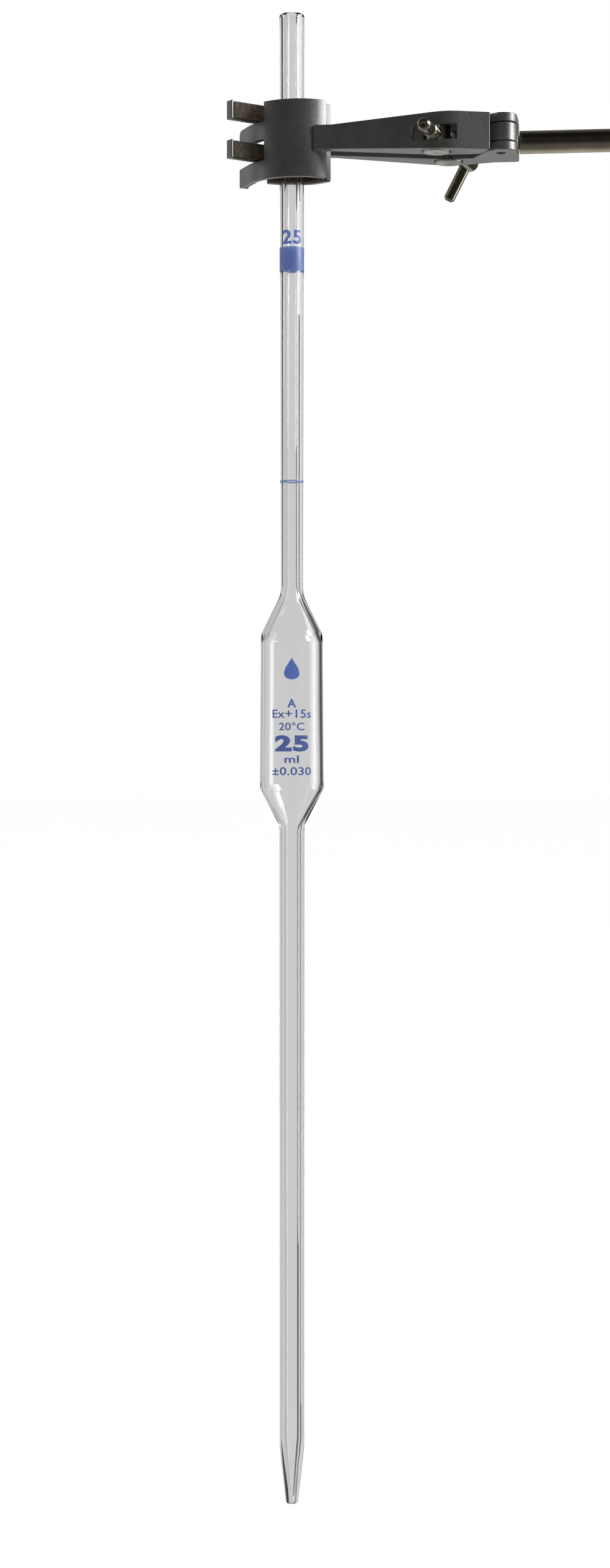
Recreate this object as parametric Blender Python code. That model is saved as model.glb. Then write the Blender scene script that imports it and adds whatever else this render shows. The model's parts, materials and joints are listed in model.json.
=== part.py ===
"""A one-mark bulb pipette, held upright by a cork-lined four-finger clamp on a steel rod.

The clamp is two hinged die-cast arms. A screw with a cross bar runs through two upright barrels, a plain one
in the fixed arm and a threaded one in the moving arm, and pulls the jaws together on the glass.

Lengths below are millimetres. The pieces are drawn in the clamp's own frame: U runs from the pipette's axis
along the clamp towards the rod, V is square to it, with the moving arm on the negative side, and W is height
above the arms' mid plane. The finished model has its origin at the middle of the rod's free end.
"""

import math

import bmesh
import bpy
from mathutils import Matrix, Vector

MM = 0.001
GAP = 0.3

# Clamp arms, as seen from above
ARM_INNER_V = 3.4
ARM_LUG_U = 8.6
ARM_LUG_ROOT_V = 5.8
ARM_THROAT_U = 13.0
ARM_JAW_V = 7.6
ARM_WIDEST_V = 14.7
ARM_JAW_U = 14.5
ARM_CREASE_U = 51.0
ARM_HALF_HEIGHT = 6.4
ARM_JAW_HALF_HEIGHT = 4.25
YOKE_END_U = 78.9
YOKE_BACK_V = 11.0
YOKE_FRONT_V = -10.6
YOKE_BACK_START_U = 70.0
YOKE_APEX_U = 63.3
YOKE_CHAMFER = 0.8
SHOULDER_GAP = 0.4

# Hinge between the arms
HINGE = Vector((73.1, -4.0, 0.0))
KNUCKLE_RADIUS = 5.7
KNUCKLE_CORNER = 4.4
SLOT_RADIUS = 6.3
SLOT_MOUTH_U = 58.0
TONGUE_HALF_HEIGHT = 3.1
TONGUE_GAP = 0.15
NECK_U = 62.0
HINGE_PIN_RADIUS = 1.6
HINGE_PIN_HALF_LENGTH = 5.4

# Jaws: a tight arc by the arm, a wider one away from it, then straight fingers. Slopes are in degrees.
JAW_HALF_HEIGHT = 13.5
JAW_FRONT_U = 2.2
JAW_FRONT_V = -8.2
JAW_ARM_RADIUS = 14.3
JAW_FINGER_RADIUS = 20.3
JAW_WALL = 2.0
BAND_END_SLOPE = 34.0
FINGER_SLOPE = {"fixed": 41.0, "moving": 63.0}
FINGER_STRAIGHT = {"fixed": 14.6, "moving": 9.0}
JAW_START_U = {"fixed": 13.4, "moving": 12.6}
FINGER_LEVEL_GAP = 0.3
FINGER_HEIGHT = 6.5
FINGER_TIP_ROUND = 2.0
BAND_TOP_ROUND = 1.5
BAND_BOTTOM_ROUND = 1.0
LIP_WIDTH = 0.85
CORK_GLUE_GAP = 0.12
CORK_THICKNESS = 1.15
CORK_MARGIN = 0.35
UPPER_FINGER_LOW = {"fixed": 6.95, "moving": 0.15}
LOWER_FINGER_LOW = {"fixed": -6.65, "moving": -13.4}

# Screw, its two barrels and the cross bar, placed along the screw from the threaded barrel
SCREW_TILT = math.radians(11.0)
SCREW_W = -0.6
NUT_U = 51.2
BARREL_V = 8.2
BARREL_RADIUS = 4.75
BARREL_CHAMFER = 0.5
NUT_HALF_HEIGHT = 6.65
BUSH_HALF_HEIGHT = 7.05
BARREL_FLAT = 4.2
THREAD_RADIUS = 2.5
JOURNAL_RADIUS = 2.0
SHANK_RADIUS = 3.3
TIP_REACH = 18.9
CROSS_BAR_REACH = 44.6
SHANK_BEYOND_BAR = 3.9
CROSS_BAR_RADIUS = 2.0
CROSS_BAR_LENGTH = 31.4
CROSS_BAR_LEAN = math.radians(28.0)
WINDOW_LENGTH = 15.3
WINDOW_HEIGHT = 5.2
WINDOW_START_U = 43.0
BUSH_WINDOW_HEIGHT = 7.8
WASHER_THICKNESS = 0.6
RING_THICKNESS = 0.6
END_CHAMFER = 0.9

# Support rod, screwed into the yoke
ROD_V = 5.9
ROD_W = -0.7
ROD_RADIUS = 4.0
ROD_FREE_LENGTH = 131.0
ROD_CHAMFER = 0.8
SPIGOT_RADIUS = 2.7
SPIGOT_LENGTH = 12.0

# Pipette, measured down its axis from the mouth
PIPETTE_LENGTH = 520.0
GRIP_DEPTH = 44.5
MOUTH_RADIUS = 4.40
UPPER_STEM_END_RADIUS = 3.92
UPPER_BORE_RADIUS = 2.1
BULB_TOP_RADIUS = 10.8
BULB_BOTTOM_RADIUS = 11.15
BULB_WALL = 1.15
LOWER_STEM_RADIUS = 4.42
LOWER_BORE_RADIUS = 2.5
JET_RADIUS = 2.1
JET_BORE_RADIUS = 0.7
UPPER_SHOULDER = (201.0, 216.6)
LOWER_SHOULDER = (270.3, 283.4)
JET_TAPER_START = 500.0
RING_MARK_DEPTH = 162.8
RING_MARK_HEIGHT = 0.5
BAND_START = 81.5
BAND_HEIGHT = 8.1
ENAMEL_THICKNESS = 0.1
ENAMEL_GAP = 0.05

GLASS_SEGMENTS = 40

# How far cutters and blanks reach past the castings, and the far end of a blank along the clamp
REACH = 20.0
BLANK_END_U = 90.0

# The model's origin, in the clamp's frame
DATUM = Vector((YOKE_END_U + GAP + ROD_FREE_LENGTH, ROD_V, ROD_W))


# --- small tools -----------------------------------------------------------------------------------------

def clear_scene():
    for obj in list(bpy.data.objects):
        bpy.data.objects.remove(obj, do_unlink=True)


def arc(centre, radius, start_deg, end_deg, steps):
    """Points on an arc about centre, from one bearing to another."""
    points = []
    for i in range(steps + 1):
        bearing = math.radians(start_deg + (end_deg - start_deg) * i / steps)
        points.append((centre[0] + radius * math.cos(bearing), centre[1] + radius * math.sin(bearing)))
    return points


def mirrored(points):
    """The same outline on the other side of the clamp's centre line, wound the same way."""
    return [(u, -v) for u, v in reversed(points)]


def prism(outline, low, high):
    """A closed upright block with this counter-clockwise outline."""
    bm = bmesh.new()
    bottom = [bm.verts.new((u, v, low)) for u, v in outline]
    top = [bm.verts.new((u, v, high)) for u, v in outline]
    bm.faces.new(reversed(bottom))
    bm.faces.new(top)
    count = len(outline)
    for i in range(count):
        j = (i + 1) % count
        bm.faces.new((bottom[i], bottom[j], top[j], top[i]))
    return bm


def box(low, high):
    outline = [(low[0], low[1]), (high[0], low[1]), (high[0], high[1]), (low[0], high[1])]
    return prism(outline, low[2], high[2])


def turned(profile, segments):
    """A solid turned about +Z from (radius, height) points that run from the bottom to the top of its axis."""
    bm = bmesh.new()
    rings = []
    for radius, height in profile:
        if radius == 0.0:
            rings.append([bm.verts.new((0.0, 0.0, height))])
            continue
        ring = []
        for i in range(segments):
            bearing = 2.0 * math.pi * i / segments
            ring.append(bm.verts.new((radius * math.cos(bearing), radius * math.sin(bearing), height)))
        rings.append(ring)
    for lower, upper in zip(rings, rings[1:]):
        bridge(bm, lower, upper, segments)
    return bm


def turned_tube(profile, segments):
    """A hollow turned piece: the profile is a closed loop, up the outside and down the bore."""
    bm = bmesh.new()
    rings = []
    for radius, height in profile:
        ring = []
        for i in range(segments):
            bearing = 2.0 * math.pi * i / segments
            ring.append(bm.verts.new((radius * math.cos(bearing), radius * math.sin(bearing), height)))
        rings.append(ring)
    for lower, upper in zip(rings, rings[1:] + rings[:1]):
        bridge(bm, lower, upper, segments)
    return bm


def bridge(bm, lower, upper, segments):
    for i in range(segments):
        j = (i + 1) % segments
        if len(lower) == 1:
            bm.faces.new((lower[0], upper[j], upper[i]))
        elif len(upper) == 1:
            bm.faces.new((lower[i], lower[j], upper[0]))
        else:
            bm.faces.new((lower[i], lower[j], upper[j], upper[i]))


def rod_profile(radius, low, high, chamfer):
    """A bar's (radius, height) points, with a chamfer at both ends."""
    return [
        (0.0, low),
        (radius - chamfer, low),
        (radius, low + chamfer),
        (radius, high - chamfer),
        (radius - chamfer, high),
        (0.0, high),
    ]


def material(name, colour, metallic, roughness, transmission=0.0):
    made = bpy.data.materials.new(name)
    made.use_nodes = True
    shader = made.node_tree.nodes["Principled BSDF"]
    shader.inputs["Base Color"].default_value = (*colour, 1.0)
    shader.inputs["Metallic"].default_value = metallic
    shader.inputs["Roughness"].default_value = roughness
    shader.inputs["Transmission Weight"].default_value = transmission
    return made


def part(name, bm, finish, pivot=Vector((0.0, 0.0, 0.0)), along=None):
    """An object whose origin is its pivot. along turns the drawn +Z to another direction first."""
    if along is not None:
        turn = along.to_track_quat("Z", "Y").to_matrix().to_4x4()
        bmesh.ops.transform(bm, matrix=Matrix.Translation(pivot) @ turn, verts=bm.verts)
    bmesh.ops.transform(bm, matrix=Matrix.Translation(-pivot), verts=bm.verts)
    bmesh.ops.scale(bm, vec=(MM, MM, MM), verts=bm.verts)
    mesh = bpy.data.meshes.new(name)
    bm.to_mesh(mesh)
    bm.free()
    mesh.materials.append(finish)
    mesh.shade_smooth()
    mesh.set_sharp_from_angle(angle=math.radians(35.0))
    obj = bpy.data.objects.new(name, mesh)
    obj.location = (pivot - DATUM) * MM
    bpy.context.scene.collection.objects.link(obj)
    return obj


def tool(name, bm, pivot=Vector((0.0, 0.0, 0.0)), along=None):
    """A cutter or a joined shape: it helps to make a piece and isn't one itself."""
    obj = part(name, bm, TOOL_FINISH, pivot, along)
    obj.hide_render = True
    obj.display_type = "WIRE"
    return obj


def combine(obj, operation, *tools):
    for helper in tools:
        modifier = obj.modifiers.new(helper.name, "BOOLEAN")
        modifier.operation = operation
        modifier.solver = "EXACT"
        modifier.object = helper


# --- the jaws' outline -----------------------------------------------------------------------------------

def band_line(inset, side):
    """A band's wall seen from above, as the moving jaw has it, inset from its outer face."""
    start_bearing = 360.0 - math.degrees(math.acos((JAW_START_U[side] - JAW_FRONT_U) / JAW_ARM_RADIUS))
    by_arm = (JAW_FRONT_U, JAW_FRONT_V + JAW_ARM_RADIUS)
    by_fingers = (JAW_FRONT_U, JAW_FRONT_V + JAW_FINGER_RADIUS)
    points = arc(by_arm, JAW_ARM_RADIUS - inset, start_bearing, 270.0, 8)
    return points + arc(by_fingers, JAW_FINGER_RADIUS - inset, 270.0, 270.0 - BAND_END_SLOPE, 7)[1:]


def finger_line(inset, side, shortened=0.0):
    """A finger's wall, from the end of the band round to its slope and then straight."""
    slope = FINGER_SLOPE[side]
    centre = (JAW_FRONT_U, JAW_FRONT_V + JAW_FINGER_RADIUS)
    points = arc(centre, JAW_FINGER_RADIUS - inset, 270.0 - BAND_END_SLOPE, 270.0 - slope, 6)
    straight = FINGER_STRAIGHT[side] - shortened
    last_u, last_v = points[-1]
    along = finger_direction(slope)
    return points + [(last_u + straight * along.x, last_v + straight * along.y)]


def finger_direction(slope):
    return Vector((-math.cos(math.radians(slope)), math.sin(math.radians(slope))))


def band_start_direction(side):
    """The way that a band's wall points where it ends by the arm."""
    first, second = band_line(0.0, side)[:2]
    return Vector((first[0] - second[0], first[1] - second[1])).normalized()


def strip(outer, inner):
    """The plan of a wall between its outer and inner lines, wound counter-clockwise."""
    return list(reversed(outer)) + inner


def jaw_wall(side):
    """The metal of a jaw, with a lip at the finger's end that the cork stops against."""
    outer = band_line(0.0, side) + finger_line(0.0, side)[1:]
    inner = band_line(JAW_WALL, side) + finger_line(JAW_WALL, side, LIP_WIDTH)[1:]
    lip_depth = JAW_WALL + CORK_GLUE_GAP + CORK_THICKNESS
    lip = [finger_line(lip_depth, side, LIP_WIDTH)[-1], finger_line(lip_depth, side)[-1]]
    return strip(outer, inner + lip)


def finger_zone(side):
    """The plan area past the end of a jaw's full-height band, where only its fingers go on."""
    along = finger_direction(BAND_END_SLOPE)
    inward = Vector((along.y, -along.x))
    root = Vector(band_line(0.0, side)[-1]) + along * GAP
    near, far = root - inward * 3.0, root + inward * 18.0
    corners = [near, far, far + along * REACH, near + along * REACH]
    return [(p.x, p.y) for p in corners]


def rounded_corner(name, end, along, height, radius):
    """Cutter that rounds the corner where a wall's end meets its upper edge or, below zero, its lower one."""
    profile = [(1.0, 1.0), (-radius, 1.0)]
    profile += [(u, v) for u, v in reversed(arc((-radius, -radius), radius, 0.0, 90.0, 6))]
    profile.append((1.0, -radius))
    bm = prism(profile, -REACH / 2.0, REACH / 2.0)
    out = Vector((along[0], along[1], 0.0)).normalized()
    rise = Vector((0.0, 0.0, math.copysign(1.0, height)))
    axes = Matrix((out, rise, out.cross(rise))).transposed().to_4x4()
    place = Matrix.Translation((end[0], end[1], height)) @ axes
    bmesh.ops.transform(bm, matrix=place, verts=bm.verts)
    return tool(name, bm)


# --- the arms' outlines ----------------------------------------------------------------------------------

def arm_outer_edge():
    """A fixed arm's outer face from the jaw to the yoke, seen from above."""
    flank_v = ARM_WIDEST_V - 0.5
    return [
        (ARM_LUG_U, ARM_JAW_V),
        (ARM_JAW_U, ARM_JAW_V),
        (ARM_CREASE_U, flank_v),
        (ARM_CREASE_U + 2.0, ARM_WIDEST_V - 0.15),
        (ARM_CREASE_U + 4.0, ARM_WIDEST_V),
        (ARM_CREASE_U + 6.0, ARM_WIDEST_V - 0.15),
        (ARM_CREASE_U + 8.0, flank_v - 0.1),
    ]


def shoulder_line(clearance):
    """Where the two arms meet: the tangent from the yoke's apex to the knuckle, as foot, tangent and normal."""
    apex = Vector((YOKE_APEX_U, ARM_INNER_V))
    hinge = Vector((HINGE.x, HINGE.y))
    radius = KNUCKLE_RADIUS + clearance
    to_apex = apex - hinge
    bearing = math.atan2(to_apex.y, to_apex.x) + math.acos(KNUCKLE_RADIUS / to_apex.length)
    normal = Vector((math.cos(bearing), math.sin(bearing)))
    tangent = Vector((-normal.y, normal.x))
    foot = hinge + normal * radius
    return foot, tangent, normal


def point_at_v(foot, tangent, v):
    step = (v - foot.y) / tangent.y
    return (foot.x + tangent.x * step, v)


def knuckle_front(clearance):
    """The knuckle's outline from its shoulder side, round its front, to its rounded outer corner."""
    front = YOKE_FRONT_V + clearance
    corner = (YOKE_END_U - GAP - KNUCKLE_CORNER, YOKE_FRONT_V + KNUCKLE_CORNER)
    normal = shoulder_line(0.0)[2]
    shoulder_bearing = math.degrees(math.atan2(normal.y, normal.x)) % 360.0
    points = arc((HINGE.x, HINGE.y), KNUCKLE_RADIUS - clearance, shoulder_bearing, 246.0, 6)
    points.append((HINGE.x - 0.7, front))
    points += arc(corner, KNUCKLE_CORNER - clearance, 270.0, 360.0, 8)
    return points


def fixed_arm_outline():
    """Fixed arm and yoke together, counter-clockwise."""
    foot, tangent, normal = shoulder_line(0.0)
    apex = point_at_v(foot, tangent, ARM_INNER_V)
    points = [(ARM_LUG_U, ARM_LUG_ROOT_V), (ARM_THROAT_U, ARM_INNER_V), apex]
    points += knuckle_front(0.0)
    points += [(YOKE_END_U, 1.0), (YOKE_END_U, YOKE_BACK_V - YOKE_CHAMFER)]
    points += [(YOKE_END_U - YOKE_CHAMFER, YOKE_BACK_V), (YOKE_BACK_START_U, YOKE_BACK_V)]
    return points + list(reversed(arm_outer_edge()))


def moving_arm_outline():
    """Moving arm up to its shoulder, counter-clockwise, with the inner corner rounded."""
    foot, tangent, normal = shoulder_line(SHOULDER_GAP)
    outer = [(u, -v) for u, v in arm_outer_edge()]
    corner = point_at_v(foot, tangent, -ARM_INNER_V)
    shoulder_front = point_at_v(foot, tangent, -YOKE_BACK_V)
    round_start = point_at_v(foot, tangent, -ARM_INNER_V - 2.4)
    round_middle = point_at_v(foot, tangent, -ARM_INNER_V - 0.9)
    fillet = [
        round_start,
        (round_middle[0] - 0.25, round_middle[1]),
        (corner[0] - 1.2, -ARM_INNER_V - 0.2),
        (corner[0] - 2.8, -ARM_INNER_V),
    ]
    throat = [(ARM_THROAT_U, -ARM_INNER_V), (ARM_LUG_U, -ARM_LUG_ROOT_V)]
    return outer + [shoulder_front] + fillet + throat


def tongue_outline():
    """The moving arm's knuckle between the yoke's plates, with the neck that joins it to the arm."""
    foot, tangent, normal = shoulder_line(SHOULDER_GAP)
    neck_front = foot + tangent * 1.6
    buried = neck_front + normal * 5.0
    knuckle_back = arc((HINGE.x, HINGE.y), KNUCKLE_RADIUS - TONGUE_GAP, 10.0, 185.0, 14)
    outline = [tuple(buried), tuple(neck_front)]
    outline += knuckle_front(TONGUE_GAP)[3:]
    outline += knuckle_back
    outline.append((NECK_U, -ARM_INNER_V - 1.0))
    return outline


def side_profile():
    """The arms' taper in height, as (along the clamp, height) points."""
    rise = ARM_CREASE_U
    upper = [
        (0.0, ARM_JAW_HALF_HEIGHT),
        (ARM_JAW_U, ARM_JAW_HALF_HEIGHT),
        (rise - 4.0, ARM_HALF_HEIGHT - 0.28),
        (rise, ARM_HALF_HEIGHT - 0.08),
        (rise + 4.0, ARM_HALF_HEIGHT),
        (BLANK_END_U, ARM_HALF_HEIGHT),
    ]
    lower = [(u, -w) for u, w in upper]
    return lower + list(reversed(upper))


def side_block(name):
    """The side profile as a block across the clamp."""
    bm = prism(side_profile(), -REACH, REACH)
    turn = Matrix.Rotation(math.radians(90.0), 4, "X")
    bmesh.ops.transform(bm, matrix=turn, verts=bm.verts)
    return tool(name, bm)


# --- the castings ----------------------------------------------------------------------------------------

def finger_cutters(name, outline, levels):
    """One cutter for each level of a jaw where the other jaw's finger passes."""
    return [tool(f"{name}_{i}", prism(outline, low, high)) for i, (low, high) in enumerate(levels)]


def make_fixed_arm():
    arm = part("fixed_arm", prism(fixed_arm_outline(), -REACH, REACH), PAINT)
    combine(arm, "INTERSECT", side_block("fixed_arm_side"))

    jaw = mirrored(jaw_wall("fixed"))
    combine(arm, "UNION", tool("fixed_jaw_wall", prism(jaw, -JAW_HALF_HEIGHT, JAW_HALF_HEIGHT)))
    levels = [(-FINGER_LEVEL_GAP / 2.0, FINGER_HEIGHT + 0.45), (-REACH, -FINGER_HEIGHT - 0.1)]
    combine(arm, "DIFFERENCE", *finger_cutters("fixed_finger_gap", mirrored(finger_zone("fixed")), levels))

    band_start = mirrored(band_line(0.0, "fixed"))[-1]
    away = band_start_direction("fixed")
    lower_corner = rounded_corner("fixed_band_corner", band_start, (away.x, -away.y), -JAW_HALF_HEIGHT, BAND_BOTTOM_ROUND)
    combine(arm, "DIFFERENCE", lower_corner)

    slot_half = TONGUE_HALF_HEIGHT + GAP
    slot = arc((HINGE.x, HINGE.y), SLOT_RADIUS, 30.0, 150.0, 16)
    slot_start, slot_end = slot[-1][1], slot[0][1]
    slot += [(SLOT_MOUTH_U, slot_start), (SLOT_MOUTH_U, -REACH), (BLANK_END_U, -REACH), (BLANK_END_U, slot_end)]
    combine(arm, "DIFFERENCE", tool("knuckle_slot", prism(slot, -slot_half, slot_half)))

    pin_bore = turned(rod_profile(HINGE_PIN_RADIUS + 0.1, -REACH, REACH, 0.1), 24)
    combine(arm, "DIFFERENCE", tool("fixed_arm_pin_bore", pin_bore, HINGE, Vector((0, 0, 1))))
    bore = turned(rod_profile(BARREL_RADIUS + GAP, -REACH, REACH, 0.1), 40)
    combine(arm, "DIFFERENCE", tool("bush_bore", bore, BUSH, Vector((0, 0, 1))))
    window = window_box(BUSH.x - WINDOW_LENGTH / 2.0, 0.0, REACH, BUSH_WINDOW_HEIGHT)
    combine(arm, "DIFFERENCE", tool("bush_window", window))
    socket = turned(rod_profile(SPIGOT_RADIUS + GAP, -SPIGOT_LENGTH - 1.0, REACH, 0.1), 24)
    at = Vector((YOKE_END_U, ROD_V, ROD_W))
    combine(arm, "DIFFERENCE", tool("rod_socket", socket, at, Vector((1, 0, 0))))
    return arm


def window_box(start_u, low_v, high_v, height):
    """The slot across an arm that lets the screw through and lets it swing."""
    low = (start_u, low_v, SCREW_W - height / 2.0)
    high = (start_u + WINDOW_LENGTH, high_v, SCREW_W + height / 2.0)
    return box(low, high)


def make_moving_arm():
    arm = part("moving_arm", prism(moving_arm_outline(), -REACH, REACH), PAINT, HINGE)
    combine(arm, "INTERSECT", side_block("moving_arm_side"))

    jaw = jaw_wall("moving")
    combine(arm, "UNION", tool("moving_jaw_wall", prism(jaw, -JAW_HALF_HEIGHT, JAW_HALF_HEIGHT)))
    levels = [(FINGER_HEIGHT + 0.15, REACH), (-FINGER_HEIGHT - 0.4, FINGER_LEVEL_GAP / 2.0)]
    combine(arm, "DIFFERENCE", *finger_cutters("moving_finger_gap", finger_zone("moving"), levels))

    tip = finger_line(0.0, "moving")[-1]
    tip_top = FINGER_HEIGHT + 0.15
    along = finger_direction(FINGER_SLOPE["moving"])
    combine(arm, "DIFFERENCE", rounded_corner("moving_finger_corner", tip, along, tip_top, FINGER_TIP_ROUND))
    start = band_line(0.0, "moving")[0]
    away = band_start_direction("moving")
    combine(arm, "DIFFERENCE", rounded_corner("moving_band_corner", start, away, JAW_HALF_HEIGHT, BAND_TOP_ROUND))

    tongue = prism(tongue_outline(), -TONGUE_HALF_HEIGHT, TONGUE_HALF_HEIGHT)
    combine(arm, "UNION", tool("tongue", tongue))

    pin_bore = turned(rod_profile(HINGE_PIN_RADIUS + 0.1, -REACH, REACH, 0.1), 24)
    combine(arm, "DIFFERENCE", tool("moving_arm_pin_bore", pin_bore, HINGE, Vector((0, 0, 1))))
    bore = turned(rod_profile(BARREL_RADIUS + GAP, -REACH, REACH, 0.1), 40)
    combine(arm, "DIFFERENCE", tool("nut_bore", bore, NUT, Vector((0, 0, 1))))
    window = window_box(WINDOW_START_U, -REACH, 0.0, WINDOW_HEIGHT)
    combine(arm, "DIFFERENCE", tool("nut_window", window))
    return arm


# --- cork linings ----------------------------------------------------------------------------------------

def make_corks(side, pivot):
    """A jaw's cork: a sheet on its band and a strip on each of its two fingers."""
    outer = JAW_WALL + CORK_GLUE_GAP
    inner = outer + CORK_THICKNESS
    flip = mirrored if side == "fixed" else list
    half = JAW_HALF_HEIGHT - CORK_MARGIN
    band = strip(band_line(outer, side)[:-1], band_line(inner, side)[:-1])
    part(f"cork_{side}_band", prism(flip(band), -half, half), CORK, pivot)
    shortened = LIP_WIDTH + 0.15
    finger = strip(finger_line(outer, side, shortened), finger_line(inner, side, shortened))
    for level, low in (("upper", UPPER_FINGER_LOW[side]), ("lower", LOWER_FINGER_LOW[side])):
        bm = prism(flip(finger), low + CORK_MARGIN, low + FINGER_HEIGHT - CORK_MARGIN)
        part(f"cork_{side}_{level}_finger", bm, CORK, pivot)


# --- screw, barrels and rod ------------------------------------------------------------------------------

def barrel(name, half_height, bore_radius, at, flat):
    """An upright swivel barrel, cross-drilled for the screw and spot-faced on both sides of the hole."""
    profile = rod_profile(BARREL_RADIUS, -half_height, half_height, BARREL_CHAMFER)
    body = part(name, turned(profile, 32), STEEL, at, Vector((0, 0, 1)))
    screw_at = Vector((at.x, at.y, SCREW_W))
    hole = turned(rod_profile(bore_radius, -12.0, 12.0, 0.1), 24)
    combine(body, "DIFFERENCE", tool(f"{name}_hole", hole, screw_at, SCREW_AXIS))
    for i, away in enumerate((1.0, -1.0)):
        face = turned(rod_profile(flat, 0.0, 6.0, 0.1), 24)
        seat = screw_at + SCREW_AXIS * away * BARREL_FLAT
        combine(body, "DIFFERENCE", tool(f"{name}_seat_{i}", face, seat, SCREW_AXIS * away))
    return body


def make_screw():
    """The clamp screw: threaded to the bush, a thinner journal in it, then a thick shank to the cross bar."""
    bush_reach = (BUSH - NUT).length
    journal_start = bush_reach - BARREL_FLAT - GAP - RING_THICKNESS - GAP
    shoulder = bush_reach + BARREL_FLAT + WASHER_THICKNESS + 2.0 * GAP
    end = CROSS_BAR_REACH + SHANK_BEYOND_BAR
    profile = [
        (0.0, -TIP_REACH),
        (THREAD_RADIUS - END_CHAMFER, -TIP_REACH),
        (THREAD_RADIUS, -TIP_REACH + END_CHAMFER),
        (THREAD_RADIUS, journal_start),
        (JOURNAL_RADIUS, journal_start),
        (JOURNAL_RADIUS, shoulder),
        (SHANK_RADIUS, shoulder),
        (SHANK_RADIUS, end - 1.2),
        (SHANK_RADIUS - 1.2, end),
        (0.0, end),
    ]
    profile = [(radius, along - bush_reach) for radius, along in profile]
    screw = part("clamp_screw", turned(profile, 32), STEEL, BUSH_CENTRE, SCREW_AXIS)
    hole = turned(rod_profile(CROSS_BAR_RADIUS + 0.1, -12.0, 12.0, 0.1), 24)
    combine(screw, "DIFFERENCE", tool("cross_hole", hole, BAR_CENTRE, BAR_AXIS))

    washer_start = BARREL_FLAT + GAP
    washer = ring_profile(JOURNAL_RADIUS + 0.2, SHANK_RADIUS + 0.1, washer_start, washer_start + WASHER_THICKNESS)
    part("thrust_washer", turned_tube(washer, 32), STEEL, BUSH_CENTRE, SCREW_AXIS)
    ring_end = -BARREL_FLAT - GAP
    ring = ring_profile(JOURNAL_RADIUS + 0.1, SHANK_RADIUS - 0.1, ring_end - RING_THICKNESS, ring_end)
    part("retaining_ring", turned_tube(ring, 32), STEEL, BUSH_CENTRE, SCREW_AXIS)


def ring_profile(inner, outer, low, high):
    return [(outer, low), (outer, high), (inner, high), (inner, low)]


def make_cross_bar():
    half = CROSS_BAR_LENGTH / 2.0
    profile = [
        (0.0, -half),
        (CROSS_BAR_RADIUS - END_CHAMFER, -half),
        (CROSS_BAR_RADIUS, -half + END_CHAMFER),
        (CROSS_BAR_RADIUS, half - END_CHAMFER),
        (CROSS_BAR_RADIUS - END_CHAMFER, half),
        (0.0, half),
    ]
    bar = turned(profile, 24)
    part("tommy_bar", bar, STEEL, BAR_CENTRE, BAR_AXIS)


def make_rod():
    start = -ROD_FREE_LENGTH
    profile = [
        (0.0, start - GAP - SPIGOT_LENGTH),
        (SPIGOT_RADIUS - 0.6, start - GAP - SPIGOT_LENGTH),
        (SPIGOT_RADIUS, start - GAP - SPIGOT_LENGTH + 0.6),
        (SPIGOT_RADIUS, start),
        (ROD_RADIUS, start),
        (ROD_RADIUS, -ROD_CHAMFER),
        (ROD_RADIUS - ROD_CHAMFER, 0.0),
        (0.0, 0.0),
    ]
    part("support_rod", turned(profile, 32), STEEL, DATUM.copy(), Vector((1, 0, 0)))


def make_hinge_pin():
    profile = rod_profile(HINGE_PIN_RADIUS, -HINGE_PIN_HALF_LENGTH, HINGE_PIN_HALF_LENGTH, 0.4)
    part("hinge_pin", turned(profile, 24), STEEL, HINGE, Vector((0, 0, 1)))


# --- the pipette -----------------------------------------------------------------------------------------

def stem_radius(depth):
    """Outer radius of the upper stem, which narrows slowly from the mouth to the bulb."""
    return MOUTH_RADIUS + (UPPER_STEM_END_RADIUS - MOUTH_RADIUS) * depth / UPPER_SHOULDER[0]


def shoulder(start, end, radii, flare):
    """A cone between two depths; flare eases its narrow upper end into the stem."""
    points = []
    steps = 6
    for i in range(1, steps):
        share = i / steps
        eased = share ** flare
        points.append((radii[0] + (radii[1] - radii[0]) * eased, start + (end - start) * share))
    return points


def pipette_profile():
    """Closed (radius, height) loop of the glass, heights up from the clamp's mid plane."""
    top, top_end = UPPER_SHOULDER
    low, low_end = LOWER_SHOULDER
    outside = [(MOUTH_RADIUS - 0.7, 0.0), (MOUTH_RADIUS - 0.2, 0.2), (MOUTH_RADIUS, 0.7)]
    outside += [(stem_radius(depth), depth) for depth in (BAND_START, BAND_START + BAND_HEIGHT, top)]
    outside += shoulder(top, top_end, (UPPER_STEM_END_RADIUS, BULB_TOP_RADIUS), 1.35)
    outside += [(BULB_TOP_RADIUS, top_end), (BULB_BOTTOM_RADIUS, low), (LOWER_STEM_RADIUS, low_end)]
    outside += [(LOWER_STEM_RADIUS, JET_TAPER_START), (3.6, JET_TAPER_START + 7.6)]
    outside += [(JET_RADIUS + 0.15, PIPETTE_LENGTH - 1.4), (JET_RADIUS - 0.2, PIPETTE_LENGTH - 0.3)]
    outside += [(JET_RADIUS - 0.7, PIPETTE_LENGTH)]
    inside = [(UPPER_BORE_RADIUS + 0.7, 0.0), (UPPER_BORE_RADIUS, 1.0), (UPPER_BORE_RADIUS, top - 2.0)]
    inside += shoulder(top - 1.0, top_end + 0.8, (UPPER_BORE_RADIUS, BULB_TOP_RADIUS - BULB_WALL), 1.35)
    inside += [(BULB_TOP_RADIUS - BULB_WALL, top_end + 0.8), (BULB_BOTTOM_RADIUS - BULB_WALL, low - 0.6)]
    inside += [(LOWER_BORE_RADIUS, low_end + 0.8), (LOWER_BORE_RADIUS, JET_TAPER_START - 2.0)]
    inside += [(JET_BORE_RADIUS, PIPETTE_LENGTH - 4.0), (JET_BORE_RADIUS, PIPETTE_LENGTH)]
    loop = list(reversed(outside)) + inside
    return [(radius, GRIP_DEPTH - depth) for radius, depth in loop]


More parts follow.
